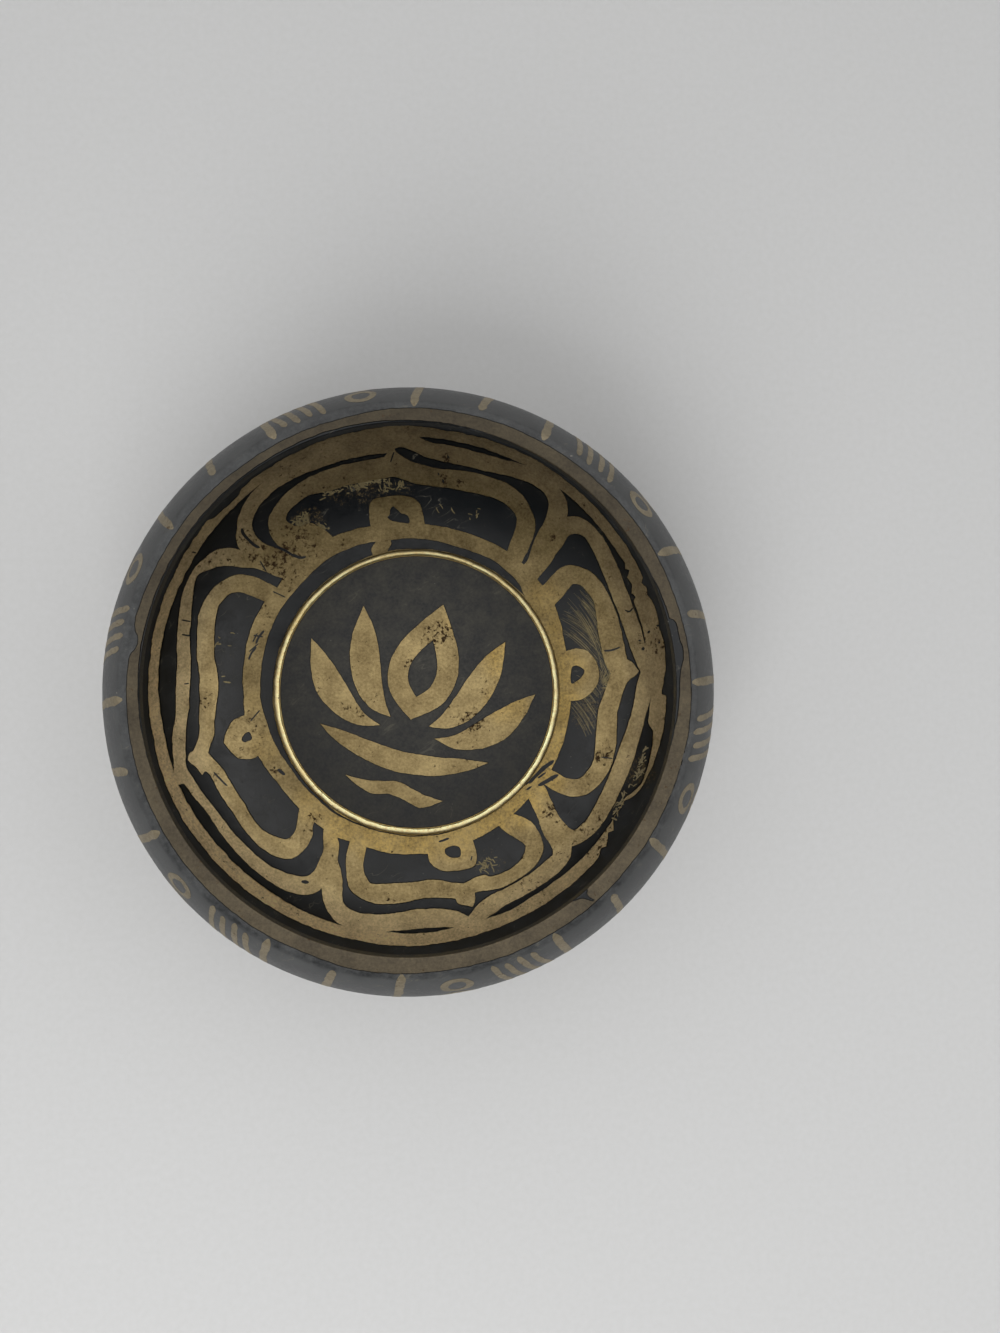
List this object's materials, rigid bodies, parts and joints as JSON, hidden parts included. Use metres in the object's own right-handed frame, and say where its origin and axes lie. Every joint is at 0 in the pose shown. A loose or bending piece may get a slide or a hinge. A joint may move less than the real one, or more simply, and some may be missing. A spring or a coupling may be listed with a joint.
{
  "type": "singing bowl",
  "caption": "Round cast brass singing bowl with an inturned rim, a beaded floor and black lac between raised lotus petals; it rings when struck or rubbed.",
  "frame": {"origin": "centre of the flat base, on the surface that the bowl stands on", "axes": "+Z up through the mouth; seen from above with +Y up, +X is to the right, as in the picture"},
  "size_m": [0.0998, 0.0998, 0.043],
  "materials": {
    "brass": "cast and turned brass, etched, tarnished and worn",
    "floor_lac": "satin black lac, flat, with fine dust and scratches",
    "wall_lac": "satin black lac, rubbed through to brass in places",
    "outer_lac": "satin black lac on the outside"
  },
  "bodies": {
    "root": {"bowl_body": "brass", "floor_ground": "floor_lac", "emblem_core": "floor_lac", "collar_ground": "wall_lac", "petal_field_1": "wall_lac", "petal_field_2": "wall_lac", "petal_field_3": "wall_lac", "petal_field_4": "wall_lac", "petal_eye_1": "wall_lac", "petal_eye_2": "wall_lac", "petal_eye_3": "wall_lac", "petal_eye_4": "wall_lac", "petal_channel_1": "wall_lac", "petal_channel_2": "wall_lac", "petal_channel_3": "wall_lac", "petal_channel_4": "wall_lac", "spandrel_1": "wall_lac", "spandrel_2": "wall_lac", "spandrel_3": "wall_lac", "spandrel_4": "wall_lac", "rim_channel_ground": "wall_lac", "outer_frieze_ground": "outer_lac", "outer_foot_ground": "outer_lac"}
  },
  "joints": []
}
